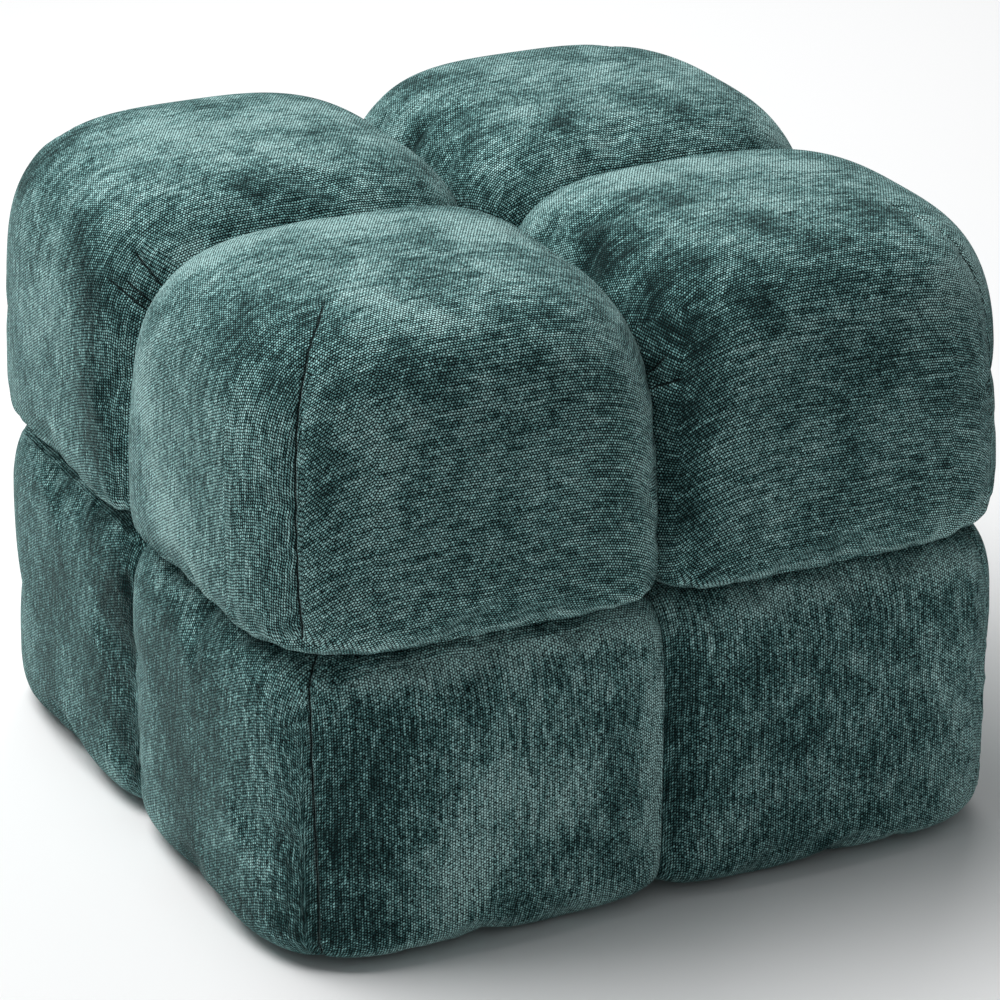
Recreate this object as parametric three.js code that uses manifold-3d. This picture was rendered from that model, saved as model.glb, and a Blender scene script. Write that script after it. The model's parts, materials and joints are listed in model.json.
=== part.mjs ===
// Storage footstool: a square upholstered box with a lift-off lid.
//
// The lid carries four full puffs, two by two, that part in deep grooves. The base
// carries eight padded half sides round a well of boards, sewn together at the corners.
// Millimetres, +Z up. The origin is on the ground, under the middle of the footstool.

import * as THREE from 'three';
import { mergeVertices } from 'three/addons/utils/BufferGeometryUtils.js';
import Module from 'manifold-3d';

// Driving dimensions
const WIDTH = 600;            // across the lid at its fullest
const DEPTH = 596;
const BASE_INSET = 3;         // how far the base stays inside the lid, all round
const SPLIT_HEIGHT = 237;     // from the ground to the seam between base and lid
const CROWN_HEIGHT = 471;     // from the ground to the top of the lowest puff
const GAP = 0.3;              // between two pieces that touch
const SPREAD = 3;             // how much of a puff's foot is flattened by what it rests on

const WELL_WIDTH = 470;       // outside of the well's board walls
const WALL = 12;              // thickness of the well's walls and floor
const LID_BOARD_WIDTH = 480;  // the board that carries the lid's puffs
const LID_BOARD = 15;
const LOCATOR = 10;           // the smaller board that drops into the well's mouth
const LOCATOR_PLAY = 3;       // play between it and each wall

const SEGMENTS = 10;          // divisions of a puff along each edge
const MARGIN = 20;            // how far a cutting shape reaches past what it cuts
const WELD = 1e-4;            // points closer than this become one

// A puff is a rounded block about a middle point, which lies at a share of the way from
// the groove to the outer side. It reaches back from there by another share, past the
// groove, where it is flattened. A squareness of 2 is an ellipse, and a high one is nearly
// a box. Where a value is a pair, it changes smoothly from the puff's foot to its head.
const MIDDLE_SHARE = 0.48;

const LID_PUFF = {
  inset: 0,
  fullest: 348,               // height at which it is widest
  inward: [0.495, 0.515],
  upward: CROWN_HEIGHT - 348,
  downward: 348 - SPLIT_HEIGHT + SPREAD,
  foot: SPLIT_HEIGHT + GAP / 2,
  ceiling: CROWN_HEIGHT + MARGIN,
  above: 3.5,                 // squareness seen from the side, above the fullest level
  below: 8.1,
  corner: [3.6, 2.75],        // squareness in plan, at the outer corner
  groove: [7.8, 3.35],        // where a side turns in to a groove
  cross: 4.6,                 // where the grooves cross
};

const BASE_PUFF = {
  inset: BASE_INSET,
  fullest: 53,
  inward: [0.545, 0.555],
  upward: SPLIT_HEIGHT - 53 + SPREAD,
  downward: 53 + SPREAD,
  foot: 0,
  ceiling: SPLIT_HEIGHT - GAP / 2,
  above: 8.2,
  below: 5.4,
  corner: [3.9, 4.15],
  groove: [6.3, 7],
  cross: 4,
};

// The corners, each a quarter turn from the last, with how much higher its puff's crown
// is than the lowest, and the names of the two half sides that meet there.
const CORNERS = [
  { name: 'back_right', turn: 0, crown: 6, facesY: 'back_right', facesX: 'right_back' },
  { name: 'back_left', turn: 1, crown: 5, facesY: 'left_back', facesX: 'back_left' },
  { name: 'front_left', turn: 2, crown: 0, facesY: 'front_left', facesX: 'left_front' },
  { name: 'front_right', turn: 3, crown: 3, facesY: 'right_front', facesX: 'front_right' },
];

const QUARTER = Math.PI / 2;

const chenille = () => new THREE.MeshStandardMaterial({ color: 0x3f605f, roughness: 0.95, metalness: 0 });
const birch = () => new THREE.MeshStandardMaterial({ color: 0xc8b48e, roughness: 0.7, metalness: 0 });

const wasm = await Module();
wasm.setup();

// Boolean joins and cuts

function toSolid(geometry) {
  const bare = geometry.clone();
  bare.deleteAttribute('normal');
  bare.deleteAttribute('uv');
  const merged = mergeVertices(bare, WELD);
  return new wasm.Manifold(new wasm.Mesh({
    numProp: 3,
    vertProperties: new Float32Array(merged.attributes.position.array),
    triVerts: new Uint32Array(merged.index.array),
  }));
}

function toGeometry(solid) {
  const mesh = solid.getMesh();
  const geometry = new THREE.BufferGeometry();
  geometry.setAttribute('position', new THREE.BufferAttribute(mesh.vertProperties, 3));
  geometry.setIndex(new THREE.BufferAttribute(mesh.triVerts, 1));
  geometry.computeVertexNormals();
  return geometry;
}

function part(name, geometry, material) {
  const mesh = new THREE.Mesh(geometry, material);
  mesh.name = name;
  return mesh;
}

// Puffs, in the quarter where +X and +Y both point outwards

function fromFootToHead([foot, head], z) {
  return THREE.MathUtils.lerp(foot, head, THREE.MathUtils.smoothstep(z, -1, 1));
}

// How square the puff's outline is in plan, towards a point of the unit cube.
function planSquareness(form, x, y, z) {
  if (x > 0 && y > 0) return fromFootToHead(form.corner, z);
  return x > 0 || y > 0 ? fromFootToHead(form.groove, z) : form.cross;
}

// A point of the unit cube drawn in to the rounded block, then flattened at the
// grooves, at the foot and at the ceiling.
function puffPoint(form, quarter, [x, y, z]) {
  const plan = planSquareness(form, x, y, z);
  const upright = z > 0 ? form.above : form.below;
  const outline = (Math.abs(x) ** plan + Math.abs(y) ** plan) ** (1 / plan);
  const drawn = (outline ** upright + Math.abs(z) ** upright) ** (-1 / upright);
  const inward = fromFootToHead(form.inward, z);
  const across = (value, half) => {
    const span = half - form.inset;
    const reach = (value > 0 ? 1 - MIDDLE_SHARE : inward) * span;
    return Math.max(MIDDLE_SHARE * span + reach * value * drawn, GAP / 2);
  };
  const height = form.fullest + (z > 0 ? form.upward + quarter.crown : form.downward) * z * drawn;
  return [
    across(x, quarter.x),
    across(y, quarter.y),
    THREE.MathUtils.clamp(height, form.foot, form.ceiling),
  ];
}

// What a corner's quarter of the footstool measures, seen with that corner turned to
// where +X and +Y both point outwards.
function quarterOf({ turn, crown }) {
  const [x, y] = turn % 2 === 0 ? [WIDTH / 2, DEPTH / 2] : [DEPTH / 2, WIDTH / 2];
  return { x, y, crown };
}

function puffGeometry(form, corner) {
  const cube = new THREE.BoxGeometry(2, 2, 2, SEGMENTS, SEGMENTS, SEGMENTS);
  cube.deleteAttribute('normal');
  cube.deleteAttribute('uv');
  const puff = mergeVertices(cube, WELD);
  const { position } = puff.attributes;
  const quarter = quarterOf(corner);
  const crowd = (t) => Math.sin(QUARTER * t);   // closer rows towards the cube's edges
  for (let i = 0; i < position.count; i += 1) {
    const at = [position.getX(i), position.getY(i), position.getZ(i)].map(crowd);
    position.setXYZ(i, ...puffPoint(form, quarter, at));
  }
  return puff;
}

// The room of the half side that faces +Y, from the middle groove to the mitre at the
// corner. Its mirror image across the diagonal is the room of the one that faces +X.
function halfSideRoom(facing) {
  const wall = WELL_WIDTH / 2 + GAP;
  const reach = WIDTH / 2 + MARGIN;
  const mitre = (GAP / 2) * Math.SQRT2;
  const plan = [[-MARGIN, wall], [wall - mitre, wall], [reach - mitre, reach], [-MARGIN, reach]];
  const points = plan.map(([x, y]) => (facing === 'Y' ? new THREE.Vector2(x, y) : new THREE.Vector2(y, x)));
  const depth = SPLIT_HEIGHT + 2 * MARGIN;
  const room = new THREE.ExtrudeGeometry(new THREE.Shape(points), { depth, bevelEnabled: false });
  room.translate(0, 0, -MARGIN);
  return room;
}

// A board lying flat, its underside at the given height.
function board(name, width, thickness, underside) {
  const mesh = part(name, new THREE.BoxGeometry(width, width, thickness), birch());
  mesh.position.z = underside + thickness / 2;
  return mesh;
}

function makeLid() {
  const lid = new THREE.Group();
  const boardWidth = LID_BOARD_WIDTH + 2 * GAP;
  const recess = new THREE.BoxGeometry(boardWidth, boardWidth, LID_BOARD + GAP);
  recess.translate(0, 0, LID_PUFF.foot + (LID_BOARD + GAP) / 2);
  const recessSolid = toSolid(recess);
  for (const corner of CORNERS) {
    const full = toSolid(puffGeometry(LID_PUFF, corner));
    const puff = part(`lid_puff_${corner.name}`, toGeometry(full.subtract(recessSolid)), chenille());
    puff.rotation.z = corner.turn * QUARTER;
    lid.add(puff);
  }
  const mouth = WELL_WIDTH - 2 * WALL - 2 * LOCATOR_PLAY;
  lid.add(board('lid_board', LID_BOARD_WIDTH, LID_BOARD, LID_PUFF.foot));
  lid.add(board('lid_locator', mouth, LOCATOR, LID_PUFF.foot - GAP - LOCATOR));
  return lid;
}

function makePads() {
  const pads = new THREE.Group();
  const rooms = { facesY: toSolid(halfSideRoom('Y')), facesX: toSolid(halfSideRoom('X')) };
  for (const corner of CORNERS) {
    const full = toSolid(puffGeometry(BASE_PUFF, { ...corner, crown: 0 }));
    const pair = new THREE.Group();
    pair.rotation.z = corner.turn * QUARTER;
    for (const [facing, room] of Object.entries(rooms)) {
      pair.add(part(`base_pad_${corner[facing]}`, toGeometry(full.intersect(room)), chenille()));
    }
    pads.add(pair);
  }
  return pads;
}

function makeWell() {
  const well = new THREE.Group();
  const height = SPLIT_HEIGHT - GAP / 2;
  const inside = WELL_WIDTH - 2 * WALL - 2 * GAP;
  const offset = (WELL_WIDTH - WALL) / 2;
  const walls = [
    { name: 'back', length: WELL_WIDTH, x: 0, y: offset, turn: 0 },
    { name: 'left', length: inside, x: -offset, y: 0, turn: 1 },
    { name: 'front', length: WELL_WIDTH, x: 0, y: -offset, turn: 0 },
    { name: 'right', length: inside, x: offset, y: 0, turn: 1 },
  ];
  for (const { name, length, x, y, turn } of walls) {
    const wall = part(`well_wall_${name}`, new THREE.BoxGeometry(length, WALL, height), birch());
    wall.position.set(x, y, height / 2);
    wall.rotation.z = turn * QUARTER;
    well.add(wall);
  }
  well.add(board('well_floor', inside, WALL, 0));
  return well;
}

const footstool = new THREE.Group();
footstool.add(makeLid(), makePads(), makeWell());

export default footstool;
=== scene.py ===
"""The looks of a square storage footstool: eight full chenille puffs and a lift-off lid.

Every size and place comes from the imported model. Each corner has one puff on the lid and
one on the base. A puff is a rounded block, worked out on the six grids of a cube. A short
cloth simulation fills it between its seams, and then its seams and creases are drawn in.
Metres, +Z up, with the origin on the floor under the middle of the footstool.
"""

from __future__ import annotations

import json
import logging
import math
from dataclasses import dataclass, field, replace
from enum import Enum
from itertools import product

import bpy
import numpy as np
from bpy.types import ID, ClothModifier, Material, Node, NodeSocket as Socket, Object
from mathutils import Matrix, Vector

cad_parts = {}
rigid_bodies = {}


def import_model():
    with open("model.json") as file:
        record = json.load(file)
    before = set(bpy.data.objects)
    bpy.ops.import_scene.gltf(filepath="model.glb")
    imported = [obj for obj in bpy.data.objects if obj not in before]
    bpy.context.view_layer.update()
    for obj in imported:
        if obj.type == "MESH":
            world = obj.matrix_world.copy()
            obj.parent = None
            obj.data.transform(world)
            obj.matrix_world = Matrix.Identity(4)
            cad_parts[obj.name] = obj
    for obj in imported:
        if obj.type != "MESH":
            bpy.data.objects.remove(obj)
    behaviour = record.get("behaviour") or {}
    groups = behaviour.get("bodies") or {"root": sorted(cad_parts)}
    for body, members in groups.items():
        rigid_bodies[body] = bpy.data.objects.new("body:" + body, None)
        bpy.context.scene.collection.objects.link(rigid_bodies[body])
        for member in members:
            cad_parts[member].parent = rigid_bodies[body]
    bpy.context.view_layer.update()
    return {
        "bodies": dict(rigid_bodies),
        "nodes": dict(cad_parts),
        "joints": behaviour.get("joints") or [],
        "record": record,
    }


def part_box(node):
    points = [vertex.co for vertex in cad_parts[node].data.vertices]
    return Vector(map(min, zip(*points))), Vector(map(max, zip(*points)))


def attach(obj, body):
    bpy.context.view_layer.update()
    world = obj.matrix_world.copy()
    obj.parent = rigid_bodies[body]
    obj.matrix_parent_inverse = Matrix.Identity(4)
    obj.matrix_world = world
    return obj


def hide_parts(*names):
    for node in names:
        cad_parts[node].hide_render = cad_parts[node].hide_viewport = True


LOG = logging.getLogger("footstool")
WEAVE_MAP = "weave"
LINE_MAP = "line"
# how strong a seam's or crease's painted shade and dip are
LINE_SHADE_MAP = "near"
# the patches' map: brushed pile and painted light and shade
PILE_AND_LIGHT_MAP = "rub"
WEAR_MAP = "wear"
GAP = 0.0003  # between two pieces that touch
TINY = 1e-12  # the least that a length is divided by

Array = np.ndarray
Pair = tuple[float, float]
Colour = tuple[float, float, float, float]
Line = tuple[tuple[float, float, float], ...]  # stops on the cube's faces


# Small helpers on arrays


def smoothstep(low: float, high: float, value: Array) -> Array:
    """3 t^2 - 2 t^3, where t is how far value is from low to high, kept in 0 to 1."""
    t = np.clip((value - low) / (high - low), 0, 1)
    return t * t * (3 - 2 * t)


def between(pair: Pair, share: Array) -> Array:
    """The pair's first value where the share is 0, and its second where it is 1."""
    return pair[0] + (pair[1] - pair[0]) * share


def cubic_weights(coarse: int, fine: int) -> Array:
    """The weights that carry a row of coarse + 1 values to one of fine + 1 values.

    Each new value is the cubic through its four nearest old ones. The first and the last
    stay as they are, so that grids which share an edge still agree on it.

    Args:
        coarse: Steps between the old values.
        fine: Steps between the new ones.

    Returns:
        An array of fine + 1 rows and coarse + 1 columns.
    """
    place = np.linspace(0, coarse, fine + 1)
    start = np.minimum(place.astype(int), coarse - 1)
    f = place - start
    parts = [
        -0.5 * f + f**2 - 0.5 * f**3,
        1 - 2.5 * f**2 + 1.5 * f**3,
        0.5 * f + 2 * f**2 - 1.5 * f**3,
        -0.5 * f**2 + 0.5 * f**3,
    ]
    weights = np.zeros((fine + 1, coarse + 1))
    for offset, part in enumerate(parts, start=-1):
        column = np.clip(start + offset, 0, coarse)
        np.add.at(weights, (np.arange(fine + 1), column), part)
    return weights


def distance_to_path(points: Array, path: Array, normals: Array) -> tuple[Array, Array]:
    """How far each point of a surface lies beside a path on it, and how far along the path.

    Args:
        points: One point a row.
        path: The path's points, one a row.
        normals: The surface's outward normal at each point.

    Returns:
        The distance to the nearest of the path's straight steps, less than 0 on the path's
        right seen from outside, and the share of the path's steps at the nearest place.
    """
    nearest = np.full(len(points), np.inf)
    side = np.ones(len(points))
    along = np.zeros(len(points))
    steps = len(path) - 1
    for i in range(steps):
        way = path[i + 1] - path[i]
        offset = points - path[i]
        t = np.clip(offset @ way / max(way @ way, TINY), 0, 1)
        away = np.linalg.norm(offset - t[:, None] * way, axis=1)
        turn = np.einsum("ij,ij->i", np.cross(way, offset), normals)
        closer = away < nearest
        nearest[closer] = away[closer]
        side[closer] = np.where(turn[closer] < 0, -1, 1)
        along[closer] = (i + t[closer]) / steps
    return nearest * side, along


# Small helpers on the scene


def placed(name: str, data: ID) -> Object:
    """Puts a new object into the scene.

    Args:
        name: Its name.
        data: Its mesh, lamp or camera.

    Returns:
        The object.
    """
    item = bpy.data.objects.new(name, data)
    bpy.context.scene.collection.objects.link(item)
    return item


def placed_mesh(name: str, points: Array, faces: Array) -> Object:
    """Puts a new mesh into the scene.

    Args:
        name: The name of the mesh and of its object.
        points: One point a row.
        faces: The point numbers of one face a row.

    Returns:
        The object.
    """
    mesh = bpy.data.meshes.new(name)
    mesh.from_pydata(points.tolist(), [], faces.tolist())
    return placed(name, mesh)


def modified(item: Object) -> Object:
    """The object as its modifiers leave it."""
    return item.evaluated_get(bpy.context.evaluated_depsgraph_get())


# A cube of grids, which every puff is worked out on


class Side(Enum):
    """The cube's faces, each with its axis and the sign of its outward direction."""

    INNER_X = (0, -1)
    OUTER_X = (0, 1)
    INNER_Y = (1, -1)
    OUTER_Y = (1, 1)
    FOOT = (2, -1)
    TOP = (2, 1)

    def __init__(self, axis: int, sign: int) -> None:
        """Works out the two axes that the face's grid runs along, in right-handed order.

        Args:
            axis: The axis that the face looks along.
            sign: 1 where it looks along that axis, and -1 where it looks against it.
        """
        self.axis = axis
        self.sign = sign
        self.grid_axes = (axis + 1) % 3, (axis + 2) % 3


class Lattice:
    """A cube from -1 to 1 whose six faces are grids that share their edges.

    The rows are crowded towards the cube's edges, where seams run and the cloth turns.
    """

    CROWDING = 0.6

    def __init__(self, divisions: tuple[int, int, int]) -> None:
        """Numbers the points on the cube's faces.

        Args:
            divisions: How many steps the grids have along X, Y and Z.
        """
        self.divisions = divisions
        places = np.indices([steps + 1 for steps in divisions])
        inside = [(place > 0) & (place < steps) for place, steps in zip(places, divisions)]
        outside = ~np.logical_and.reduce(inside)
        rows = [self._rows(steps)[place[outside]] for place, steps in zip(places, divisions)]
        self.points = np.stack(rows, axis=1)
        numbers = np.cumsum(outside).reshape(outside.shape) - 1
        self.grids = {
            side: numbers.transpose(side.axis, *side.grid_axes)[-1 if side.sign > 0 else 0]
            for side in Side
        }

    def _rows(self, steps: int) -> Array:
        """Where rows of points lie: part evenly, part as the sine of a quarter turn."""
        even = np.linspace(-1, 1, steps + 1)
        return (1 - self.CROWDING) * even + self.CROWDING * np.sin(even * math.pi / 2)

    def corners(self, side: Side, grid: Array) -> Array:
        """A grid's values at the corners of its squares, in rows of four that face outwards."""
        around = [grid[:-1, :-1], grid[1:, :-1], grid[1:, 1:], grid[:-1, 1:]]
        return np.stack(around[:: side.sign], axis=2).reshape(-1, 4, *grid.shape[2:])

    def squares(self) -> Array:
        """All the cube's squares, as four point numbers each."""
        return np.concatenate([self.corners(s, self.grids[s]) for s in Side])

    def refine(self, values: Array, fine: Lattice) -> Array:
        """Carries values to a finer lattice, by the cubics through the nearest points.

        Args:
            values: One row for each point of this lattice.
            fine: The finer lattice.

        Returns:
            One row for each of its points.
        """
        result = np.zeros((len(fine.points), values.shape[1]))
        for side in Side:
            down, across = (cubic_weights(self.divisions[a], fine.divisions[a]) for a in side.grid_axes)
            grid = values[self.grids[side]]
            result[fine.grids[side]] = np.einsum("ai,ijk,bj->abk", down, grid, across)
        return result

    def normals(self, points: Array) -> Array:
        """Outward unit normals: each point's sum of the crossed diagonals of its squares.

        Args:
            points: Where the lattice's points lie.

        Returns:
            One normal a row.
        """
        squares = self.squares()
        a, b, c, d = (points[squares[:, i]] for i in range(4))
        facing = np.cross(c - a, d - b)
        total = np.zeros_like(points)
        for i in range(4):
            np.add.at(total, squares[:, i], facing)
        length = np.linalg.norm(total, axis=1, keepdims=True)
        return total / np.maximum(length, TINY)

    def smoothed(self, values: Array, rounds: int) -> Array:
        """Evens out values over the lattice.

        Args:
            values: One row for each point.
            rounds: How many times each value moves half way to its neighbours' mean.

        Returns:
            The evened values.
        """
        squares = self.squares()
        start = squares.ravel()
        end = np.roll(squares, -1, axis=1).ravel()
        count = np.bincount(end, minlength=len(values))[:, None]
        for _ in range(rounds):
            total = np.zeros_like(values)
            np.add.at(total, end, values[start])
            values = 0.5 * values + 0.5 * total / count
        return values


# The shape of a puff


@dataclass(frozen=True)
class PuffForm:
    """A rounded block about a middle point, in the quarter where +X and +Y point outwards.

    The middle lies at a share of the way from the groove to the outer side. The block
    reaches back from there past the groove, where it is flattened. A squareness of 2 is
    an ellipse, and a high one is nearly a box. A pair holds the value at the puff's foot
    and the one at its head.
    """

    fullest: float  # how high above the foot it is widest
    inward: Pair  # how far it reaches back, as a share
    above: float  # squareness seen from the side, above the fullest level
    below: Pair  # and below it, at the outer sides and next to a groove
    corner: Pair  # squareness in plan, at the outer corner
    groove: Pair  # where a side turns in to a groove
    cross: float  # where the grooves cross
    flat_top: bool
    spread: float = 0.003  # how much of it is flattened where it rests on something
    middle_share: float = 0.48
    half_width: float = 0.0
    half_depth: float = 0.0
    foot: float = 0.0
    top: float = 0.0

    def lattice(self, spacing: float) -> Lattice:
        """A lattice whose points lie about this far apart on the block, in even steps."""
        sides = (self.half_width, self.half_depth, self.top - self.foot)
        return Lattice(tuple(2 * round(side / spacing / 2) for side in sides))

    def surface(self, cube: Array) -> Array:
        """Where points of the unit cube lie on the block.

        Each point is drawn in along the line to the middle until it meets the rounded
        block: its outline in plan is |x|^p + |y|^p = 1 and its outline seen from the side
        is outline^q + |z|^q = 1. It is then flattened at the grooves and at the foot.

        Args:
            cube: Points on the cube from -1 to 1, one a row.

        Returns:
            The points on the block, one a row.
        """
        x, y, z = cube.T
        rise = smoothstep(-1, 1, z)
        least = np.minimum(x, y)
        inner = np.where(np.maximum(x, y) > 0, between(self.groove, rise), self.cross)
        plan = np.where(least > 0, between(self.corner, rise), inner)
        upright = np.where(z > 0, self.above, between(self.below, smoothstep(0, 1, -least)))
        outline = (np.abs(x) ** plan + np.abs(y) ** plan) ** (1 / plan)
        drawn = (outline**upright + np.abs(z) ** upright) ** (-1 / upright)
        inward = between(self.inward, rise)
        across = [
            self.middle_share * half
            + np.where(value > 0, 1 - self.middle_share, inward) * half * value * drawn
            for value, half in ((x, self.half_width), (y, self.half_depth))
        ]
        fullest = self.foot + self.fullest
        head = self.top + (self.spread if self.flat_top else 0)
        upward, downward = head - fullest, fullest - self.foot + self.spread
        height = fullest + np.where(z > 0, upward, downward) * z * drawn
        return self.flattened(np.stack([*across, height], axis=1))

    def flattened(self, points: Array) -> Array:
        """Points kept on this side of the grooves, above the foot and under a flat top."""
        high = (np.inf, np.inf, self.top if self.flat_top else np.inf)
        return np.clip(points, (GAP / 2, GAP / 2, self.foot), high)


@dataclass(frozen=True)
class Swell:
    """The cloth simulation that fills a puff between its seams.

    The cover is cut a little larger than the block, so that it puckers where it is held.
    """

    steps: float = 0.0085  # between two points of the simulated cloth
    seam: float = 0.999  # how far out on the cube the outer corner's edge is held
    pressure: float = 4.0
    growth: float = 0.012  # how much larger the cover is cut, as a share
    stiffness: float = 15
    frames: int = 20
    cap: float = 0.006  # no point moves further than this
    broad_rounds: int = 60  # of evening out, after which only the broad part is left

    def displacement(self, form: PuffForm, fine: Lattice) -> Array:
        """How far the blown-up cloth moves each point of a block.

        The cloth is held at the grooves, at the outer corner's seam and where it lies on
        something. It is simulated on a coarse lattice.

        Args:
            form: The block.
            fine: The lattice of the finished cloth.

        Returns:
            The move of each of its points, with its broad part taken off, since the block
            already has that, and no longer than the cap.
        """
        lattice = form.lattice(self.steps)
        points = form.surface(lattice.points)
        at_groove = points[:, :2].min(axis=1) < GAP
        at_seam = lattice.points[:, :2].min(axis=1) > self.seam
        at_foot = points[:, 2] < form.foot + GAP
        at_top = form.flat_top & (points[:, 2] > form.top - GAP)
        held = np.flatnonzero(at_groove | at_seam | at_foot | at_top)
        cloth = placed_mesh("swelling", points, lattice.squares())
        cloth.vertex_groups.new(name="held").add(held.tolist(), 1.0, "REPLACE")
        self._set_up(cloth.modifiers.new("Cloth", "CLOTH"))
        for frame in range(1, self.frames + 1):
            bpy.context.scene.frame_set(frame)
        blown = np.empty(points.size, np.float32)
        modified(cloth).data.vertices.foreach_get("co", blown)
        bpy.data.meshes.remove(cloth.data)  # and the object with it
        bpy.context.scene.frame_set(1)
        move = blown.reshape(-1, 3) - points
        move -= lattice.smoothed(move, self.broad_rounds)
        length = np.linalg.norm(move, axis=1, keepdims=True)
        move = move * np.tanh(length / self.cap) * self.cap / np.maximum(length, TINY)
        return lattice.refine(move, fine)

    def _set_up(self, cloth: ClothModifier) -> None:
        """Sets up the cloth, with gravity off.

        Args:
            cloth: The modifier.
        """
        cloth.point_cache.frame_end = self.frames
        cloth.collision_settings.use_collision = False
        settings = cloth.settings
        settings.quality = 5
        settings.mass = 0.3
        settings.tension_stiffness = self.stiffness
        settings.compression_stiffness = self.stiffness
        settings.shear_stiffness = self.stiffness / 3
        settings.bending_stiffness = 2.0
        settings.use_pressure = True
        settings.uniform_pressure_force = self.pressure
        settings.shrink_min = -self.growth
        settings.vertex_group_mass = "held"
        settings.effector_weights.gravity = 0


class Corner(Enum):
    """The corners, each with the quarter turns from where +X and +Y point outwards."""

    BACK_RIGHT = 0
    BACK_LEFT = 1
    FRONT_LEFT = 2
    FRONT_RIGHT = 3

    @property
    def label(self) -> str:
        """The corner's name in small letters, such as front_left."""
        return self.name.lower()

    def turned(self, x: Array, y: Array) -> tuple[Array, Array]:
        """Lengths along the quarter's own X and Y, as lengths along the footstool's."""
        return ((x, y), (-y, x), (-x, -y), (y, -x))[self.value]


@dataclass(frozen=True)
class Stroke:
    """Something that follows a line over the cube's faces."""

    line: Line

    STEPS = 24

    def path(self, form: PuffForm) -> Array:
        """The line's points on the block, with each straight stretch in even steps.

        Args:
            form: The block that the line runs over.

        Returns:
            One point a row.
        """
        stops = np.array(self.line)
        place = np.linspace(0, len(stops) - 1, self.STEPS * (len(stops) - 1) + 1)
        cube = [np.interp(place, np.arange(len(stops)), stops[:, a]) for a in range(3)]
        return form.surface(np.stack(cube, axis=1))


@dataclass(frozen=True)
class Valley(Stroke):
    """A seam or a crease: a narrow valley in the cloth."""

    depth: float
    width: float
    draw: float = 0.0  # how far the cloth round it is drawn in
    draw_width: float = 0.01
    pucker: float = 0.0  # how much of that comes and goes with the stitches
    pucker_pitch: float = 0.011
    fade: float = 0.0  # the share of its length over which its start fades

    WAVER = 0.3  # how much the puckers' height changes along the line
    WAVER_PACE = 0.37  # how fast it changes, against the puckers themselves

    def profile(self, points: Array, normals: Array, form: PuffForm) -> tuple[Array, ...]:
        """How deep the valley is at each point, and where its line runs.

        The depth is depth exp(-(d / width)^1.5) + draw exp(-(d / draw_width)^2) at a
        distance d from the line. The second part comes and goes along the line, as a sine
        whose height changes as a slower sine, and both parts fade at its start.

        Args:
            points: The block's points, one a row.
            normals: Its outward normals there.
            form: The block that the line runs over.

        Returns:
            The depth in metres, the distance beside the line with its sign, and how
            strong the line is, from 0 to 1.
        """
        path = self.path(form)
        beside, along = distance_to_path(points, path, normals)
        away = np.abs(beside)
        stitches = np.linalg.norm(np.diff(path, axis=0), axis=1).sum() / self.pucker_pitch
        turns = 2 * math.pi * stitches * along
        waver = 1 - self.WAVER + self.WAVER * np.sin(self.WAVER_PACE * turns + 1)
        drawn = np.exp(-((away / self.draw_width) ** 2))
        drawn *= 1 + self.pucker * np.sin(turns) * waver
        depth = self.depth * np.exp(-((away / self.width) ** 1.5)) + self.draw * drawn
        strength = smoothstep(0, self.fade, along) if self.fade else np.ones(len(points))
        return depth * strength, beside, strength


@dataclass(frozen=True)
class Rub(Stroke):
    """A patch painted lighter, or darker where its lift is negative: partly pile brushed by
    use, partly painted light and shade.
    """

    reach: float
    lift: float

    def profile(self, points: Array, normals: Array, form: PuffForm) -> Array:
        """The patch's share of each point: lift exp(-(d / reach)^2) at a distance d."""
        beside, _ = distance_to_path(points, self.path(form), normals)
        return self.lift * np.exp(-((beside / self.reach) ** 2))


# Finishes


class Value:
    """A shader socket that carries a number. Each operator on it adds one Math node."""

    def __init__(self, graph: Graph, socket: Socket) -> None:
        """Wraps a socket of the graph."""
        self.graph = graph
        self.socket = socket

    def _math(self, operation: str, *terms: Value | float) -> Value:
        """The result of one Math node on the given terms."""
        return self.graph.value("ShaderNodeMath", {"operation": operation}, dict(enumerate(terms)))

    def __add__(self, other: Value | float) -> Value:
        """This value plus another."""
        return self._math("ADD", self, other)

    __radd__ = __add__

    def __sub__(self, other: Value | float) -> Value:
        """This value less another."""
        return self._math("SUBTRACT", self, other)

    def __rsub__(self, other: float) -> Value:
        """A number less this value."""
        return self._math("SUBTRACT", other, self)

    def __mul__(self, other: Value | float) -> Value:
        """This value times another."""
        return self._math("MULTIPLY", self, other)

    __rmul__ = __mul__

    def __truediv__(self, other: Value | float) -> Value:
        """This value over another."""
        return self._math("DIVIDE", self, other)

    def __pow__(self, other: Value | float) -> Value:
        """This value to a power."""
        return self._math("POWER", self, other)

    def rounded(self) -> Value:
        """The nearest whole number."""
        return self._math("ROUND", self)

    def parity(self) -> Value:
        """0 at an even whole number and 1 at an odd one."""
        return self._math("FLOORED_MODULO", self, 2.0)

    def clamped(self) -> Value:
        """The value kept in 0 to 1."""
        return self._math("MINIMUM", self._math("MAXIMUM", self, 0.0), 1.0)

    def beyond(self, limit: float) -> Value:
        """1 where the value is further from 0 than the limit, and 0 elsewhere."""
        return self._math("GREATER_THAN", self._math("ABSOLUTE", self), limit)


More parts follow.
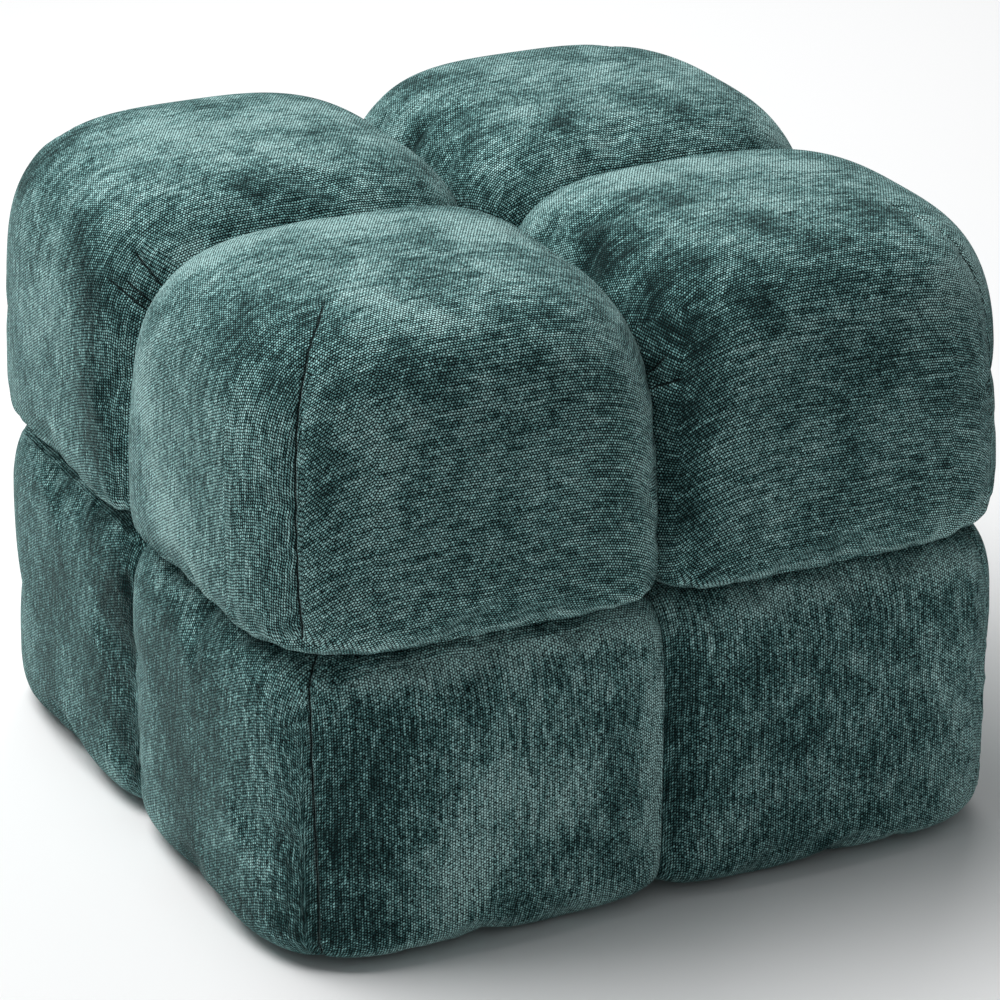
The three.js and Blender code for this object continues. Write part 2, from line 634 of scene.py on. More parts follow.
class Graph:
    """A material's nodes, built up from its inputs to its shader."""

    def __init__(self, name: str) -> None:
        """Starts an empty node material.

        Args:
            name: The material's name.
        """
        self.material = bpy.data.materials.new(name)
        self.material.use_nodes = True
        self.tree = self.material.node_tree
        self.tree.nodes.clear()

    def add(self, kind: str, settings: dict, sockets: dict) -> Node:
        """Adds one node.

        Args:
            kind: The node's type.
            settings: Its properties, which are set first.
            sockets: A value or a link for each of its inputs, by name or by number.

        Returns:
            The node.
        """
        node = self.tree.nodes.new(kind)
        for key, value in settings.items():
            setattr(node, key, value)
        for key, value in sockets.items():
            source = value.socket if isinstance(value, Value) else value
            if isinstance(source, Socket):
                self.tree.links.new(source, node.inputs[key])
            else:
                node.inputs[key].default_value = source
        return node

    def value(self, kind: str, settings: dict, sockets: dict, output: str | int = 0) -> Value:
        """Adds one node and wraps one of its outputs as a number."""
        return Value(self, self.add(kind, settings, sockets).outputs[output])

    def attribute(self, name: str) -> Value:
        """A number that the mesh carries for each of its points."""
        return self.value("ShaderNodeAttribute", {"attribute_name": name}, {}, "Fac")

    def point(self, *axes: Value | float) -> Socket:
        """A vector from two or three numbers."""
        return self.add("ShaderNodeCombineXYZ", {}, dict(enumerate(axes))).outputs[0]

    def axes(self, vector: Socket) -> list[Value]:
        """The three numbers of a vector."""
        split = self.add("ShaderNodeSeparateXYZ", {}, {0: vector})
        return [Value(self, output) for output in split.outputs]

    def noise(self, vector: Socket, scale: float, detail: float = 2.0) -> Value:
        """Smooth noise about 0, with the given number of lumps to a unit."""
        sockets = {"Vector": vector, "Scale": scale, "Detail": detail, "Roughness": 0.6}
        return self.value("ShaderNodeTexNoise", {"noise_dimensions": "3D"}, sockets) - 0.5

    def lumps(self, axes: list[Value], sizes: tuple[float, ...], detail: float) -> Value:
        """Smooth noise about 0, whose lumps have these sizes along these axes."""
        return self.noise(self.point(*(a / size for a, size in zip(axes, sizes))), 1.0, detail)

    def drift(self, vector: Socket, scale: float) -> list[Value]:
        """Two smooth noises about 0, with the given number of lumps to a unit."""
        node = self.add("ShaderNodeTexNoise", {"noise_dimensions": "3D"},
                        {"Vector": vector, "Scale": scale, "Detail": 0.0})
        return [axis - 0.5 for axis in self.axes(node.outputs["Color"])[:2]]

    def blend(self, low: tuple | Socket, high: tuple | Socket, share: Value) -> Socket:
        """The first colour where the share is 0, the second where it is 1."""
        sockets = {"Factor": share, 6: low, 7: high}
        return self.add("ShaderNodeMix", {"data_type": "RGBA"}, sockets).outputs[2]

    def bump(self, height: Value, distance: float, strength: float) -> Socket:
        """The normal over a relief whose height of 1 stands the given distance out."""
        sockets = {"Strength": strength, "Distance": distance, "Height": height}
        return self.add("ShaderNodeBump", {}, sockets).outputs[0]

    def finish(self, sockets: dict) -> Material:
        """Gives the material its principled shader.

        Args:
            sockets: The shader's values and links, by name.

        Returns:
            The material.
        """
        shader = self.add("ShaderNodeBsdfPrincipled", {}, sockets)
        self.add("ShaderNodeOutputMaterial", {}, {"Surface": shader.outputs[0]})
        return self.material


@dataclass(frozen=True)
class Chenille:
    """Woven chenille: rows of small tufts in quincunx, with a pile brushed in patches.

    A scale is a noise's lumps to a metre. A size is its lumps' length and width, along the
    rows and across them.
    """

    tuft_pitch: float = 0.00224
    row_pitch: float = 0.00196
    gap_colour: Colour = (0.0006, 0.0040, 0.0040, 1)
    shade_colour: Colour = (0.014, 0.080, 0.080, 1)
    tuft_colour: Colour = (0.470, 0.920, 0.900, 1)
    light_colour: Colour = (0.610, 0.970, 0.945, 1)
    roughness: float = 0.9
    specular: float = 0.15
    sheen: float = 0.5
    sheen_roughness: float = 0.14
    sheen_tint: Colour = (0.58, 0.84, 0.82, 1)
    relief: float = 0.0006
    line_width: float = 0.0010  # of a seam's or a crease's painted shade and dip, to each side
    tuft_contrast: float = 2.2
    wobble: Pair = (0.0010, 0.0008)  # how far the weave wanders, along the rows and across
    wobble_scale: float = 110
    jitter: float = 0.0007  # how far the tufts stray from their places
    jitter_scale: float = 430
    grain_scale: float = 420
    weave: float = 1.0  # how clearly the tufts stand apart
    sparkle: float = 0.35  # how much lighter a few of them are
    pile: float = 0.26  # how far the pile is brushed light on the whole
    cloud: float = 3.8  # how far broad patches of it stand out
    cloud_scale: float = 17
    patch: float = 1.9
    patch_size: Pair = (0.016, 0.006)
    streak: float = 1.9
    streak_size: Pair = (0.026, 0.0024)
    thread: float = 0.8
    thread_size: Pair = (0.0022, 0.010)

    def material(self) -> Material:
        """Builds the material.

        Each tuft is a dome on its own cell of the weave, lighter or darker by chance. Rows
        carry streaks, and broad and small patches say how the pile is brushed. The mesh's
        patches add brushed pile and painted light and shade, and painted shade darkens the
        seams and creases.

        Returns:
            The material, which reads the cover's weave map in metres.
        """
        graph = Graph("chenille")
        cloth = graph.add("ShaderNodeUVMap", {"uv_map": WEAVE_MAP}, {}).outputs[0]
        u, v, _ = graph.axes(cloth)
        wobble = graph.noise(cloth, self.wobble_scale)
        shift, slip = graph.drift(cloth, self.jitter_scale)
        dome, chance = self._tufts(graph, u + wobble * self.wobble[0] + shift * self.jitter,
                                   v + wobble * self.wobble[1] + slip * self.jitter)
        lie = graph.noise(cloth, self.cloud_scale, 6) * graph.attribute(WEAR_MAP) * self.cloud
        for strength, size, detail in (
            (self.patch, self.patch_size, 3),
            (self.streak, self.streak_size, 1),
            (self.thread, self.thread_size, 1),
        ):
            lie = lie + graph.lumps([u, v], size, detail) * strength
        # the patches' map adds brushed pile and painted light and shade to the pile's lie
        lie = lie + graph.attribute(PILE_AND_LIGHT_MAP) + self.pile
        brushed = lie.clamped()
        # where the sum is below 0, painted shade darkens the tufts too
        dim = ((lie + 1.0) * 1.05).clamped()
        grain = graph.noise(cloth, self.grain_scale, 1)
        blur = 1 - self.weave
        fuzz = grain * (0.8 + 1.6 * blur) + 0.36 * blur
        peak = dome**2.8 * (0.6 + chance * 0.8) * self.tuft_contrast * self.weave
        tuft = (peak + fuzz).clamped()
        bright = brushed * 0.65 + (tuft * tuft * 0.25 + chance**3 * self.sparkle) * dim
        light = graph.blend(self.tuft_colour, self.light_colour, brushed)
        pile = graph.blend(self.shade_colour, light, bright.clamped())
        cover = (tuft + brushed * 0.04) * (0.4 + dim * 0.6)
        colour = graph.blend(self.gap_colour, pile, cover.clamped())
        # Seams and creases: painted shade darkens the colour along each line, and the relief dips there
        beside = graph.attribute(LINE_MAP) / self.line_width
        line = (1.6 - beside * beside * 1.6).clamped() * graph.attribute(LINE_SHADE_MAP)
        height = dome * (0.6 + chance * 0.4) + grain * 0.3 + brushed * 0.3 - line * 2
        return graph.finish({
            # painted shade along the seams and creases
            "Base Color": graph.blend(colour, self.gap_colour, line * 0.9),
            "Roughness": self.roughness,
            "Specular IOR Level": self.specular,
            "Sheen Weight": self.sheen,
            "Sheen Roughness": self.sheen_roughness,
            "Sheen Tint": self.sheen_tint,
            "Normal": graph.bump(height, self.relief, 0.9),
        })

    def _tufts(self, graph: Graph, u: Value, v: Value) -> tuple[Value, Value]:
        """The weave's tufts.

        Args:
            graph: The material's nodes.
            u: Metres along the rows.
            v: Metres across them.

        Returns:
            The tufts' height, 1 at the middle and 0 at the edge of each cell, and each
            tuft's own chance value.
        """
        across = v / self.row_pitch
        row = across.rounded()
        along = u / self.tuft_pitch - row.parity() * 0.5
        place = along.rounded()
        beside = (along - place) * 2
        above = (across - row) * 2
        dome = (1 - beside * beside * 0.9 - above * above * 0.9).clamped()
        chance = graph.value("ShaderNodeTexWhiteNoise", {"noise_dimensions": "2D"},
                             {"Vector": graph.point(place, row)})
        return dome, chance


@dataclass(frozen=True)
class Birch:
    """Plain birch board, with a fine grain along X, and cloth round its outer faces, painted
    near black as the shade in the gaps by the board.

    A size is the length, width and depth of a noise's lumps.
    """

    pale: Colour = (0.62, 0.47, 0.30, 1)
    dark: Colour = (0.42, 0.28, 0.16, 1)
    figure_size: tuple[float, float, float] = (0.16, 0.022, 0.022)
    fibre_size: tuple[float, float, float] = (0.03, 0.0012, 0.0012)
    relief: float = 0.0003
    # the cloth's colour, darkened to a painted shade
    lining: Colour = (0.006, 0.022, 0.022, 1)
    lined_from: float = 0.2345  # how far from the middle the shaded cloth starts

    def material(self) -> Material:
        """Builds the material.

        Returns:
            The material, which reads the board's own coordinates.
        """
        graph = Graph("birch")
        place = graph.add("ShaderNodeTexCoord", {}, {}).outputs["Object"]
        axes = graph.axes(place)
        figure = graph.lumps(axes, self.figure_size, 3)
        fibre = graph.lumps(axes, self.fibre_size, 2)
        share = (figure * 0.9 + fibre * 0.6 + 0.4).clamped()
        wood = graph.blend(self.pale, self.dark, share)
        # the outer faces get cloth painted near black as shade
        shaded_rim = axes[0].beyond(self.lined_from) + axes[1].beyond(self.lined_from)
        return graph.finish({
            "Base Color": graph.blend(wood, self.lining, shaded_rim.clamped()),
            "Roughness": fibre * 0.2 + 0.55,
            "Normal": graph.bump(fibre, self.relief, 0.4),
        })


# The footstool


@dataclass
class Puff:
    """One padded corner piece, closed all round, that stands for its plain solids."""

    tier: Tier
    corner: Corner
    form: PuffForm
    stands_for: list[str]
    swell: Swell = field(default_factory=Swell)

    SPACING = 0.0031  # between two points of the finished cloth
    WORN = (0.1, 0.6)  # how far up the cloth faces where the sides' wear turns into the top's
    LINE_FADE = (0.003, 0.006)  # how far from a line its painted shade starts to fade and is gone
    LINE_REACH = 0.01  # the largest distance from a line that is kept
    APART = (0.9, 7)  # moves the weave on from puff to puff, so that no two are alike
    SHARP = 60  # degrees between two faces whose edge stays sharp
    BOX = ((0, 1, 3, 2), (4, 6, 7, 5), (0, 4, 5, 1), (2, 3, 7, 6), (0, 2, 6, 4), (1, 5, 7, 3))

    def build(self, cover: Material) -> Object:
        """Makes the puff, puts it on its tier's body and hides the solids that it stands for.

        Args:
            cover: The cover's material.

        Returns:
            The finished piece.
        """
        lattice = self.form.lattice(self.SPACING)
        block = self.form.surface(lattice.points)
        normals = lattice.normals(block)
        depth, line, near = self._lines(block, normals)
        local = block + self.swell.displacement(self.form, lattice)
        x, y, z = self.form.flattened(local - normals * depth[:, None]).T
        points = np.stack([*self.corner.turned(x, y), z], axis=1)
        # patches of brushed pile and painted light and shade
        rubs = self.tier.rubs(self.corner)
        rub = sum((r.profile(block, normals, self.form) for r in rubs), np.zeros(len(block)))
        wear = between((self.tier.side_wear, 1), smoothstep(*self.WORN, normals[:, 2]))
        maps = {LINE_MAP: line, LINE_SHADE_MAP: near, PILE_AND_LIGHT_MAP: rub, WEAR_MAP: wear}
        piece = self._mesh_piece(lattice, points, maps)
        piece.data.materials.append(cover)
        self._cut(piece)
        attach(piece, self.tier.body)
        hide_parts(*self.stands_for)
        return piece

    def _lines(self, block: Array, normals: Array) -> tuple[Array, Array, Array]:
        """Works out the puff's seams and creases.

        Args:
            block: The block's points.
            normals: Its outward normals there.

        Returns:
            How far each point is drawn in, how far it lies beside the nearest line, with
            its sign, and how strong that line and its painted shade are there, from 0 to 1.
        """
        depth = np.zeros(len(block))
        line = np.full(len(block), np.inf)
        near = np.zeros(len(block))
        for valley in self.tier.valleys(self.corner):
            here, beside, strength = valley.profile(block, normals, self.form)
            depth += here
            closer = (np.abs(beside) < np.abs(line)) & (valley.depth > 0)
            line[closer] = beside[closer]
            near[closer] = strength[closer]
        near *= 1 - smoothstep(*self.LINE_FADE, np.abs(line))
        return depth, np.clip(line, -self.LINE_REACH, self.LINE_REACH), near

    def _weave_map(self, lattice: Lattice, points: Array) -> Array:
        """The cloth's own coordinates, in metres, at each corner of each square.

        On the top they are the lengths along the rows of points, from the middle. Each
        side carries on from the top's edge, so that the weave runs over it unbroken. In a
        groove, the squares nearer to the outer side carry on from that one.

        Args:
            lattice: The lattice of the puff's points.
            points: Where they lie.

        Returns:
            Two numbers for each corner of each square, in the squares' order.
        """
        grids = {side: points[lattice.grids[side]] for side in Side}
        lengths = {side: [self._lengths(grid, a) for a in (0, 1)] for side, grid in grids.items()}
        weave = {side: self._from_top(side, lengths) for side in Side}
        maps = []
        for side in Side:
            corners = lattice.corners(side, weave[side])
            if side in (Side.INNER_X, Side.INNER_Y):
                beside = self._from_outer(side, lengths, weave)
                place = lattice.corners(side, lattice.points[lattice.grids[side]]).mean(axis=1)
                is_low = place[:, 2] < place[:, 1 - side.axis]
                corners[is_low] = lattice.corners(side, beside)[is_low]
            maps.append(corners)
        along, across = np.moveaxis(np.concatenate(maps), -1, 0)
        if not self.tier.rows_upright:
            along, across = self.corner.turned(along, across)
        return np.stack([along, across], axis=-1)

    @staticmethod
    def _lengths(grid: Array, axis: int) -> Array:
        """Lengths along a grid's lines of points one way, from the middle of each line."""
        steps = np.linalg.norm(np.diff(grid, axis=axis, prepend=grid.take([0], axis)), axis=2)
        return steps.cumsum(axis) - steps.cumsum(axis).take([grid.shape[axis] // 2], axis)

    def _from_top(self, side: Side, lengths: dict[Side, list[Array]]) -> Array:
        """A side's coordinates on its grid, where they carry on from the top's edge.

        Args:
            side: The side.
            lengths: Each side's lengths.

        Returns:
            The lengths along the weave's rows and across them, in the grid's layout.
        """
        first, second = lengths[side]
        top_x, top_y = lengths[Side.TOP]
        end = -1 if side.sign > 0 else 0
        if side.axis == 2:
            pair = [first, second]
        elif side.axis == 0:  # its grid runs along Y, then up
            pair = [top_x[end][:, None] + side.sign * (second[:, -1:] - second), first]
        else:  # its grid runs up, then along X
            pair = [second, top_y[:, end] + side.sign * (first[-1] - first)]
            if self.tier.rows_upright:
                pair.reverse()
        return np.stack(pair, axis=-1)

    def _from_outer(self, side: Side, lengths: dict[Side, list[Array]],
                    weave: dict[Side, Array]) -> Array:
        """A groove side's coordinates, where they carry on round the outer side's upright edge.

        Args:
            side: The groove side.
            lengths: Each side's lengths.
            weave: Each side's coordinates, carried on from the top.

        Returns:
            The lengths along the weave's rows and across them, in the grid's layout.
        """
        first, second = lengths[side]
        if side is Side.INNER_X:
            edge = weave[Side.OUTER_Y][None, :, 0]
            inward = first - first[-1]
            level = int(self.tier.rows_upright)
        else:
            edge = weave[Side.OUTER_X][0][:, None]
            inward = second - second[:, -1:]
            level = 1
        result = np.broadcast_to(edge, (*inward.shape, 2)).copy()
        result[..., level] += inward
        return result

    def _mesh_piece(self, lattice: Lattice, points: Array, maps: dict[str, Array]) -> Object:
        """Makes the puff's mesh.

        Args:
            lattice: The lattice of its points.
            points: Where they lie.
            maps: Numbers for each point, by the name that the mesh carries them under.

        Returns:
            The piece, which also has the weave map.
        """
        piece = placed_mesh(f"{self.tier.prefix}_{self.corner.label}", points, lattice.squares())
        mesh = piece.data
        cloth = mesh.uv_layers.new(name=WEAVE_MAP)
        offset = np.array([self.corner.value, self.form.foot]) * self.APART
        weave = self._weave_map(lattice, points).reshape(-1, 2) + offset
        cloth.data.foreach_set("uv", weave.astype(np.float32).ravel())
        for name, values in maps.items():
            attribute = mesh.attributes.new(name, "FLOAT", "POINT")
            attribute.data.foreach_set("value", values.astype(np.float32))
        mesh.shade_smooth()
        return piece

    def _cut(self, piece: Object) -> None:
        """Cuts the boards' room from the puff, so that it closes round them.

        Args:
            piece: The puff.
        """
        ends = list(product(*zip(*self.tier.hollow(self.form))))
        room = placed_mesh("room", np.array(ends), np.array(self.BOX))
        cut = piece.modifiers.new("room", "BOOLEAN")
        cut.operation = "DIFFERENCE"
        cut.solver = "MANIFOLD"
        cut.object = room
        plain = piece.data
        piece.data = bpy.data.meshes.new_from_object(modified(piece))
        piece.modifiers.clear()
        piece.data.name = piece.name
        piece.data.set_sharp_from_angle(angle=math.radians(self.SHARP))
        bpy.data.meshes.remove(plain)
        bpy.data.meshes.remove(room.data)  # and the object with it


@dataclass
class Tier:
    """The lid or the base, with a puff on each corner.

    The table of patches holds each corner's patches of brushed pile and painted light and
    shade: the reach and the lift of each, then the stops of its line over the cube.
    """

    body: str
    prefix: str  # of its pieces' names
    solids: tuple[str, ...]  # the solids' names, with places for the corner's two words
    form: PuffForm
    seam: Valley
    rows_upright: bool  # whether the weave's rows stand upright on all four sides
    side_wear: float  # how unevenly the pile of the sides is worn, where the top's is 1
    fill: float

    RUBS = {}

    def puffs(self) -> list[Puff]:
        """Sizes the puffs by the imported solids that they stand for.

        Returns:
            The four puffs.
        """
        puffs = []
        for corner in Corner:
            nodes = [solid.format(*corner.label.split("_")) for solid in self.solids]
            low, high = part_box(nodes[0])
            halves = np.abs([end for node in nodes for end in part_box(node)]).max(axis=0)[:2].tolist()
            if corner.value % 2:  # its own X runs along the footstool's Y
                halves.reverse()
            sizes = {"half_width": halves[0], "half_depth": halves[1], "foot": low.z, "top": high.z}
            puffs.append(Puff(self, corner, replace(self.form, **sizes), nodes))
        return puffs

    def hollow(self, form: PuffForm) -> tuple[Vector, Vector]:
        """The lowest and the highest corner of the box that is cut from a puff."""
        raise NotImplementedError

    def valleys(self, _: Corner) -> list[Valley]:
        """The seam over the outer corner."""
        return [self.seam]

    def rubs(self, corner: Corner) -> list[Rub]:
        """A corner's patches of brushed pile and painted light and shade."""
        return [Rub(tuple(line), reach, lift) for reach, lift, *line in self.RUBS.get(corner, [])]


@dataclass
class Lid(Tier):
    """The lid: four full puffs on a board, each with a dart down its outer corner."""

    body: str = "lid"
    prefix: str = "puff"
    solids: tuple[str, ...] = ("lid_puff_{0}_{1}",)
    form: PuffForm = PuffForm(
        fullest=0.111, inward=(0.495, 0.515), above=3.5, below=(12, 14),
        corner=(3.6, 2.75), groove=(7.8, 3.35), cross=4.6, flat_top=False,
    )
    seam: Valley = Valley(  # the dart from the crown over the outer corner to the foot
        ((0.47, 0.35, 1), (0.63, 0.565, 1), (1, 0.95, 1), (1, 0.965, 0), (0.985, 1, -1)),
        depth=0.0020, width=0.0013, draw=0.0012, pucker=0.45, fade=0.12,
    )
    gathers: Valley = Valley(
        ((1, -0.95, -0.9), (1, 1, -0.9), (-0.95, 1, -0.9)),
        depth=0, width=0.0013, draw=0.0014, draw_width=0.012, pucker=1.0, pucker_pitch=0.024,
    )
    # a thin painted highlight along the lid's foot
    hem: Rub = Rub(((1, -0.95, -0.97), (1, 1, -0.97), (-0.95, 1, -0.97)), reach=0.004, lift=0.60)
    crease_depth: float = 0.0030
    crease_width: float = 0.0028
    rows_upright: bool = False
    side_wear: float = 0.45
    fill: float = 0.9
    board: str = "lid_board"
    board_room: float = 0.01  # how far the board's room reaches below the puffs

    CREASES = {
        Corner.BACK_LEFT: [
            ((-0.93, 1, 0.865), (-1, 1, 0.83), (-1, 0.87, 0.674), (-1, 0.8, 0.58)),
            ((-0.87, 1, 0.64), (-1, 1, 0.6), (-1, 0.915, 0.53), (-1, 0.85, 0.47)),
            ((-0.72, 1, 0.58), (-0.9, 1, 0.544), (-1, 1, 0.515), (-1, 0.9, 0.44)),
        ],
        Corner.FRONT_RIGHT: [
            ((1, -0.98, 0.44), (0.93, -1, 0.393), (0.8, -1, 0.32)),
            ((0.87, -1, 0.55), (0.82, -1, 0.48), (0.76, -1, 0.4)),
        ],
    }
    # Patches of brushed pile and painted light and shade: lifts below 0 are painted shade in grooves
    # and on shaded flanks, and some lifts above 0 are painted highlights on edges
    RUBS = {
        Corner.FRONT_LEFT: [
            (0.042, 0.6, (0.9, -0.8, 1), (0.42, -0.64, 1), (-0.1, -0.46, 1), (-0.5, -0.2, 1)),
            (0.024, 0.5, (0.3, 0.57, 1), (0.25, 0.5, 1)),
            (0.016, 0.55, (-0.7, 0.25, 1), (-0.75, 0.1, 1)),
            (0.028, -0.75, (0.95, 0.76, 1), (0.8, 0.67, 1)),
            (0.02, -0.35, (1, -0.1, 0.62), (1, 0.1, 0.6)),
            (0.022, -0.4, (0.1, 1, 0.93), (0, 1, 0.97)),
            (0.012, -0.35, (0.85, 1, 0.5), (0.85, 1, -0.3)),
            (0.02, 0.35, (0.46, 1, 0.74), (0.5, 1, 0), (0.5, 1, -0.5)),
            (0.024, 0.6, (1, -0.55, 0.2), (1, -0.35, -0.35), (1, 0.1, -0.8)),
            (0.012, 0.4, (1, -0.8, 0.8), (1, -0.8, 0.3)),
            (0.015, 0.65, (-0.9, 1, 0.78), (-0.93, 1, 0.16), (-0.91, 1, -0.6)),
        ],
        Corner.FRONT_RIGHT: [
            (0.038, -0.8, (0.2, -1, 0.95), (0.55, -1, 0.9), (0.89, -1, 0.62)),
            (0.022, -0.65, (-0.5, -1, 1), (-0.2, -1, 0.95)),
            (0.015, -0.7, (1, -0.93, 0.2), (1, -0.93, -0.55)),
            (0.036, 0.55, (-0.56, -0.9, 1), (-0.3, -0.25, 1), (-0.14, 0.3, 1)),
            (0.025, -0.6, (1, -0.62, 0.9), (0.8, -0.57, 1), (0.96, -0.15, 1)),
            (0.028, -0.55, (0.55, 0.4, 1), (0.62, 0.5, 1)),
            (0.026, 0.9, (1, 0.62, 0.79), (0.95, 0.95, 0.85)),
            (0.024, -0.4, (1, 0.15, 0.52), (1, 0.1, 0.4)),
            (0.02, 0.2, (1, -0.32, 0.56), (1, -0.2, 0.55)),
            (0.024, 0.35, (1, -0.64, -0.04), (1, -0.55, -0.1)),
            (0.016, 0.5, (1, 0.5, -0.95), (1, 0.8, -0.9)),
        ],
        Corner.BACK_LEFT: [
            (0.055, 0.45, (0, 0.4, 1), (-0.12, -0.32, 1)),
            (0.018, -0.5, (-0.85, 0, 1), (-0.8, 0.2, 1)),
            (0.03, -0.9, (0.5, 1, 0.78), (0.55, 0.95, 0.9)),
            (0.03, -0.4, (-0.35, 1, 0.8), (-0.6, 1, 0.45)),
            (0.022, 0.3, (-0.6, 0.2, 1), (-0.5, 0.3, 1)),
            (0.022, -0.65, (-0.68, 1, 0.3), (-0.75, 1, -0.5)),
            (0.03, 0.25, (-0.1, 1, 0.1), (0.1, 1, -0.3)),
        ],
        Corner.BACK_RIGHT: [
            (0.035, 0.4, (0.15, -0.2, 1), (0.1, -0.1, 1)),
            (0.03, -0.4, (-0.95, 0.2, 1), (-1, -0.8, 0.86)),
            (0.024, 0.35, (-0.7, 0.1, 1), (-0.7, 0.3, 1)),
            (0.022, -0.45, (-0.62, -0.7, 1), (-0.5, -0.65, 1)),
            (0.022, 0.4, (1, -0.2, 0.4), (1, -0.3, 0.6)),
        ],
    }

    def hollow(self, form: PuffForm) -> tuple[Vector, Vector]:
        """The lowest and the highest corner of the room for the board."""
        low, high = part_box(self.board)
        return low - Vector((GAP, GAP, self.board_room)), high + Vector((GAP, GAP, GAP))

    def valleys(self, corner: Corner) -> list[Valley]:
        """The dart, the gathers round the foot, and the creases at the grooves' ends.

        Args:
            corner: The corner. The dart of a right one is the left ones' mirror image.

        Returns:
            The valleys.
        """
        dart = self.seam
        if corner in (Corner.FRONT_RIGHT, Corner.BACK_RIGHT):
            dart = replace(dart, line=tuple((y, x, z) for x, y, z in dart.line))
        creases = [Valley(line, self.crease_depth, self.crease_width, fade=0.2)
                   for line in self.CREASES.get(corner, [])]
        return [dart, self.gathers, *creases]

    def rubs(self, corner: Corner) -> list[Rub]:
        """The painted highlight round the foot, and the corner's patches of brushed pile and
        painted light and shade.
        """
        return [self.hem, *super().rubs(corner)]


@dataclass
class Base(Tier):
    """The base: four corner puffs round the well, each with a seam up its outer corner."""

    body: str = "base"
    prefix: str = "base"
    solids: tuple[str, ...] = ("base_pad_{0}_{1}", "base_pad_{1}_{0}")
    form: PuffForm = PuffForm(
        fullest=0.053, inward=(0.545, 0.555), above=8.2, below=(5.4, 5.4),
        corner=(3.9, 4.15), groove=(6.3, 7), cross=4, flat_top=True,
    )
    seam: Valley = Valley(  # up the outer corner, then on over the top to the well
        ((0.6, 0.61, 1), (0.92, 0.96, 1), (0.93, 1, 0.9), (0.89, 1, 0), (0.9, 1, -1)),
        depth=0.0022, width=0.0014, draw=0.0014, pucker=0.45,
    )
    rows_upright: bool = True
    side_wear: float = 0.9
    fill: float = 0.85
    well_room: float = 0.05  # how far the well's room reaches below and above the puffs

    # Patches of brushed pile and painted light and shade: lifts below 0 are painted shade, and the
    # bands along the foot, the top edge and the groove edges are painted light
    RUBS = {
        Corner.FRONT_LEFT: [
            (0.03, 0.6, (0.2, 1, -0.1), (-0.05, 1, 0.33), (-0.35, 1, 0.3)),
            (0.018, 0.45, (-0.2, 1, 0.82), (-0.22, 1, 0.7)),
            (0.02, -0.5, (0.42, 1, 0.72), (0.38, 1, 0.65)),
            (0.02, -0.35, (-0.57, 1, 0.36), (-0.55, 1, 0.1)),
            (0.034, -0.65, (0.72, 1, 0.5), (0.72, 1, -0.3)),
            (0.022, -0.35, (0.85, 1, 0.26), (0.5, 1, 0.18), (0.25, 1, 0.05)),
            (0.075, -0.75, (1, -0.3, 0.8), (1, 0, 0.04)),
            (0.022, -0.4, (1, 0.3, 0.75), (1, 0.25, 0.6)),
            (0.018, 0.4, (1, -0.1, 0.87), (1, -0.22, 0.7)),
            (0.016, -0.35, (1, 0.8, 0.22), (1, 0.7, 0.24)),
            (0.024, -0.5, (1, 0.9, 0.1), (1, 0.85, -0.3)),
            (0.014, 0.9, (-0.86, 1, 0.6), (-0.87, 1, 0), (-0.92, 1, -0.75)),
            (0.013, 0.75, (0.6, 1, -0.88), (-0.6, 1, -0.88)),
            (0.013, 0.9, (0.6, 1, 0.97), (-0.9, 1, 0.97)),
            (0.014, 0.7, (1, -0.6, 0.96), (1, -0.2, 0.93)),
            (0.01, 0.4, (0.93, 1, 0.6), (0.93, 1, 0.2)),
        ],
        Corner.FRONT_RIGHT: [
            (0.018, -0.6, (1, -0.85, 0.8), (1, -0.85, -0.3)),
            (0.024, -0.4, (1, -0.44, 0.6), (1, -0.4, 0.5)),
            (0.028, 0.45, (1, 0.6, 0.4), (1, 0.72, -0.3)),
            (0.018, 0.55, (1, 0.75, -0.31), (1, 0.85, -0.5)),
            (0.013, 0.8, (1, -0.5, 0.97), (1, 0.8, 0.97)),
            (0.016, 0.6, (1, 0.2, -0.85), (1, 0.8, -0.7)),
        ],
        Corner.BACK_LEFT: [
            (0.022, -0.6, (-0.9, 1, 0.9), (-0.87, 1, -0.13)),
            (0.03, -0.5, (-0.7, 1, 0.4), (-0.5, 1, 0.1)),
            (0.036, -0.5, (-0.5, 1, 0.9), (-0.7, 1, 0.6)),
            (0.065, -0.55, (0, 1, 0.6), (0, 1, 0)),
            (0.022, 0.3, (0.2, 1, 0.4), (0.3, 1, 0.2)),
        ],
    }

    def hollow(self, form: PuffForm) -> tuple[Vector, Vector]:
        """The lowest and the highest corner of the well's room.

        Args:
            form: The puff's block.

        Returns:
            The two corners.
        """
        low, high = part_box("well_wall_left")[0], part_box("well_wall_right")[1]
        reach = max(abs(low.x), abs(high.x)) + GAP
        return (Vector((-reach, -reach, form.foot - self.well_room)),
                Vector((reach, reach, form.top + self.well_room)))


@dataclass
class Boards:
    """The well's boards and the lid's boards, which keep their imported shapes."""

    finish: Birch = field(default_factory=Birch)

    def dress(self, nodes: dict[str, Object]) -> list[str]:
        """Gives each board its finish.

        Args:
            nodes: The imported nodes.

        Returns:
            The boards' names.
        """
        birch = self.finish.material()
        names = sorted(n for n in nodes if n.startswith("well_") or n in ("lid_board", "lid_locator"))
        for name in names:
            for slot in nodes[name].material_slots:
                slot.material = birch
        return names


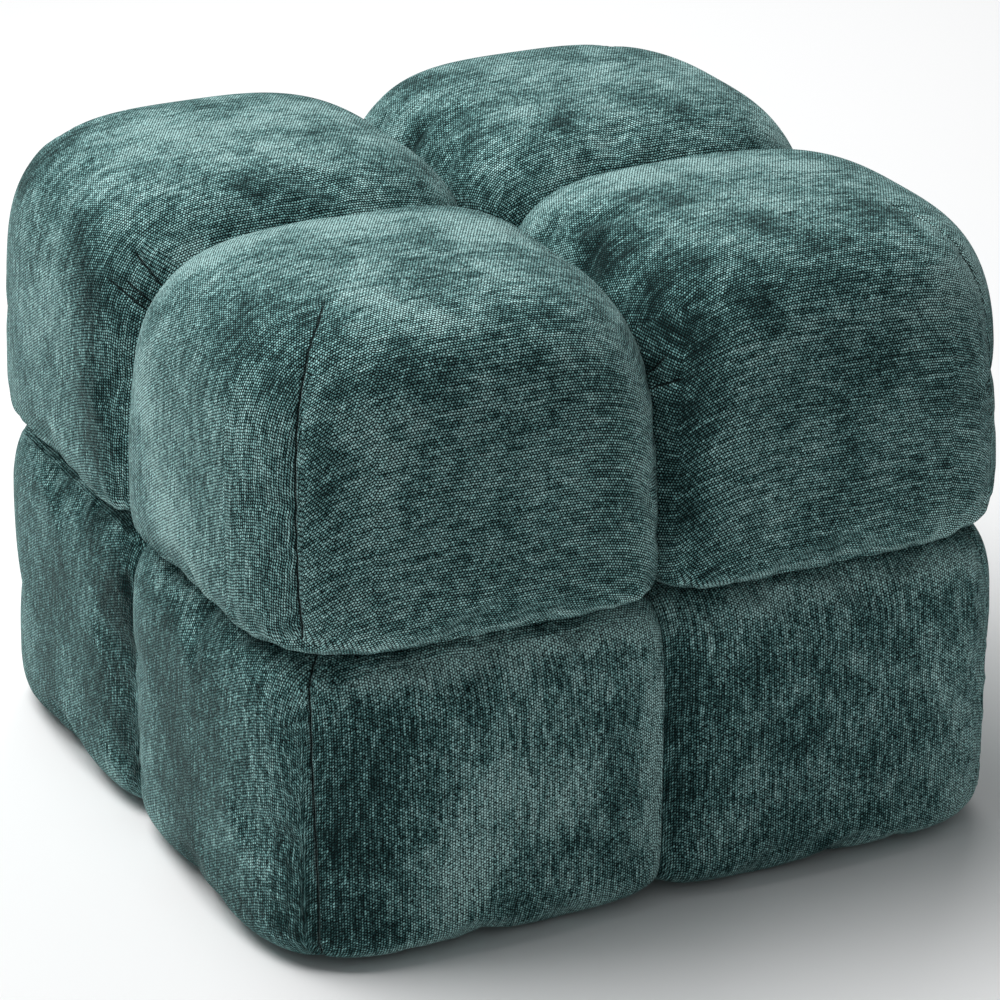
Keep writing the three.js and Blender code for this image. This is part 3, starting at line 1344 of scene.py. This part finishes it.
@dataclass
class Studio:
    """A plain pale floor, soft light and the camera."""

    azimuth: float = -25.97
    elevation: float = 22.78
    distance: float = 3.336
    target: tuple[float, float, float] = (0.0081, -0.0040, 0.2038)
    lens: float = 160.0
    floor_size: float = 12.0
    floor_colour: Colour = (0.88, 0.88, 0.88, 1)
    sky_colour: Colour = (0.95, 0.98, 1.0, 1)
    sky_strength: float = 0.22

    def build(self) -> None:
        """Sets up the floor, the sky, the lamps and the camera."""
        self._floor()
        self._sky()
        self._lamp("key", Vector((-1.15, 0.8, 3.1)), size=2.2, power=125)
        self._lamp("back", Vector((1.6, 2.4, 1.9)), size=1.6, power=25)
        self._camera()
        bpy.context.scene.view_settings.view_transform = "Standard"

    def _floor(self) -> None:
        """A flat pale floor at the footstool's feet."""
        corners = np.array([(-1, -1, 0), (1, -1, 0), (1, 1, 0), (-1, 1, 0)]) * self.floor_size / 2
        floor = placed_mesh("floor", corners, np.array([(0, 1, 2, 3)]))
        finish = {"Base Color": self.floor_colour, "Roughness": 0.9}
        floor.data.materials.append(Graph("floor").finish(finish))

    def _sky(self) -> None:
        """An even pale sky."""
        world = bpy.data.worlds.new("sky")
        world.use_nodes = True
        background = world.node_tree.nodes["Background"]
        background.inputs["Color"].default_value = self.sky_colour
        background.inputs["Strength"].default_value = self.sky_strength
        bpy.context.scene.world = world

    def _lamp(self, name: str, place: Vector, size: float, power: float) -> None:
        """A square soft lamp that looks at the footstool.

        Args:
            name: The lamp's name.
            place: Where it hangs.
            size: The length of its sides.
            power: Its power in watts.
        """
        light = bpy.data.lights.new(name, "AREA")
        light.size = size
        light.energy = power
        lamp = placed(name, light)
        lamp.location = place
        lamp.rotation_euler = (Vector(self.target) - place).to_track_quat("-Z", "Y").to_euler()

    def _camera(self) -> None:
        """A long lens, looking down at the front left corner."""
        a, e = math.radians(self.azimuth), math.radians(self.elevation)
        back = Vector((math.sin(a) * math.cos(e), -math.cos(a) * math.cos(e), math.sin(e)))
        lens = bpy.data.cameras.new("camera")
        lens.lens = self.lens
        camera = placed("camera", lens)
        camera.location = Vector(self.target) + back * self.distance
        camera.rotation_euler = (-back).to_track_quat("-Z", "Y").to_euler()
        bpy.context.scene.camera = camera


def main() -> None:
    """Builds the footstool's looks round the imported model."""
    logging.basicConfig(level=logging.INFO, format="%(name)s: %(message)s")
    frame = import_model()
    plain_weave = Chenille(weave=0.6, streak=2.0, cloud=3.0)
    covers = {"lid": Chenille().material(), "base": plain_weave.material()}
    for puff in [*Lid().puffs(), *Base().puffs()]:
        piece = puff.build(covers[puff.tier.body])
        LOG.info("%s: %d faces, on the %s", piece.name, len(piece.data.polygons), puff.tier.body)
    for name in Boards().dress(frame["nodes"]):
        LOG.info("%s: birch", name)
    Studio().build()


if __name__ == "__main__":
    main()
